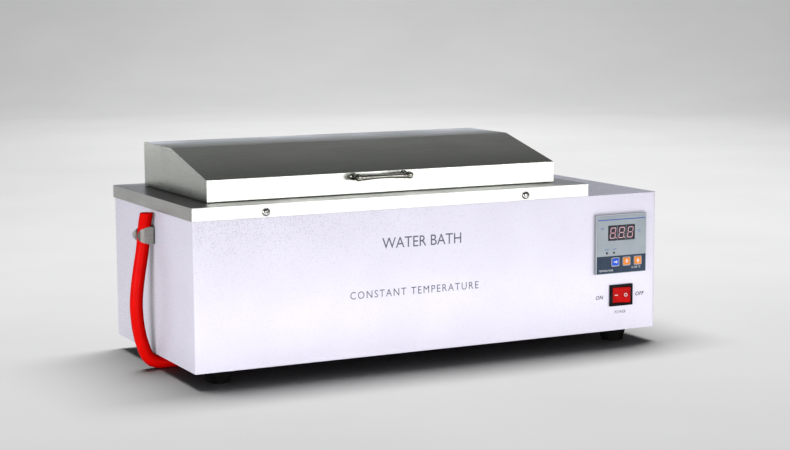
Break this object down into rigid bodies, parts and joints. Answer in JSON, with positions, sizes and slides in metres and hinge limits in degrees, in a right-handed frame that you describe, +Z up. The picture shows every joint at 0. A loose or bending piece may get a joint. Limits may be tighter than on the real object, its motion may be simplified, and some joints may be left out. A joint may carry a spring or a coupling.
{
  "type": "laboratory water bath",
  "caption": "Heated bench-top water bath with an insulated stainless tank, a hinged sloping lid, a digital temperature controller and a clipped-up drain hose.",
  "frame": {"origin": "Bottom centre of the bounding box, on the ground between the feet, measured without the drain hose and its clamp.", "axes": "+X from the hose end to the control end, along the longest side; +Y from the front panel to the back; +Z up."},
  "size_m": [0.6283, 0.2906, 0.251],
  "materials": {
    "paint": "fine textured powder coat",
    "stainless": "brushed and rolled sheet",
    "chrome": "bright plated",
    "brass": "turned and cast",
    "black_rubber": "matt",
    "red_rubber": "smooth, slightly glossy",
    "black_plastic": "fine matt",
    "grey_plastic": "fine matt",
    "display_plastic": "dark filter window",
    "red_plastic": "glossy",
    "blue_plastic": "printed key",
    "orange_plastic": "printed key",
    "lamp_plastic": "tinted lens",
    "circuit_board": "glass-fibre board",
    "white_plastic": "moulded",
    "glass_wool": "fibrous board"
  },
  "bodies": {
    "cabinet": {"base_plate": "paint", "cable_gland": "black_plastic", "cable_gland_nut": "black_plastic", "controller_board": "circuit_board", "controller_clamp_frame": "black_plastic", "controller_fascia": "grey_plastic", "controller_housing": "grey_plastic", "deck_screw_front_left": "chrome", "deck_screw_front_right": "chrome", "deck_screw_rear_left": "chrome", "deck_screw_rear_right": "chrome", "display_window": "display_plastic", "divider_panel": "paint", "drain_elbow": "brass", "drain_hose": "red_rubber", "foot_front_left": "black_rubber", "foot_front_right": "black_rubber", "foot_rear_left": "black_rubber", "foot_rear_right": "black_rubber", "foot_screw_front_left": "chrome", "foot_screw_front_right": "chrome", "foot_screw_rear_left": "chrome", "foot_screw_rear_right": "chrome", "heater_element": "stainless", "heater_lead_front": "black_plastic", "heater_lead_rear": "red_plastic", "heater_nut_front": "brass", "heater_nut_rear": "brass", "hinge_deck_leaf_left": "stainless", "hinge_deck_leaf_right": "stainless", "hinge_pin_left": "stainless", "hinge_pin_right": "stainless", "hose_clamp": "stainless", "hose_clip": "stainless", "hose_clip_rivet": "chrome", "inner_tank": "stainless", "lamp_alarm": "lamp_plastic", "lamp_heating": "lamp_plastic", "outer_case": "paint", "power_relay": "white_plastic", "sensor_lead": "grey_plastic", "sensor_nut": "brass", "sensor_probe": "stainless", "switch_housing": "black_plastic", "tank_lagging": "glass_wool", "terminal_block": "white_plastic", "top_deck": "stainless"},
    "lid": {"lid_shell": "stainless", "lid_handle": "chrome", "handle_screw_left": "chrome", "handle_screw_right": "chrome", "hinge_lid_leaf_left": "stainless", "hinge_lid_leaf_right": "stainless"},
    "shelf": {"shelf_plate": "stainless", "shelf_leg_front": "stainless", "shelf_leg_rear": "stainless"},
    "rocker": {"switch_rocker": "red_plastic"},
    "set_key": {"key_set": "blue_plastic"},
    "down_key": {"key_down": "orange_plastic"},
    "up_key": {"key_up": "orange_plastic"}
  },
  "joints": [
    {"name": "lid_hinge", "type": "hinge", "parent": "cabinet", "child": "lid", "pos_m": [-0.0373, 0.1045, 0.2025], "axis": [-1, 0, 0], "range_deg": [0, 95]},
    {"name": "shelf_lift", "type": "slide", "parent": "cabinet", "child": "shelf", "axis": [0, 0, 1], "range_m": [0, 0.095]},
    {"name": "power_rocker", "type": "hinge", "parent": "cabinet", "child": "rocker", "pos_m": [0.259, -0.1405, 0.061], "axis": [0, 0, 1], "range_deg": [0, 20]},
    {"name": "key_set_press", "type": "slide", "parent": "cabinet", "child": "set_key", "axis": [0, 1, 0], "range_m": [0, 0.0006], "stiffness_N_per_m": 900, "springref_m": -0.0006},
    {"name": "key_down_press", "type": "slide", "parent": "cabinet", "child": "down_key", "axis": [0, 1, 0], "range_m": [0, 0.0006], "stiffness_N_per_m": 900, "springref_m": -0.0006},
    {"name": "key_up_press", "type": "slide", "parent": "cabinet", "child": "up_key", "axis": [0, 1, 0], "range_m": [0, 0.0006], "stiffness_N_per_m": 900, "springref_m": -0.0006}
  ]
}
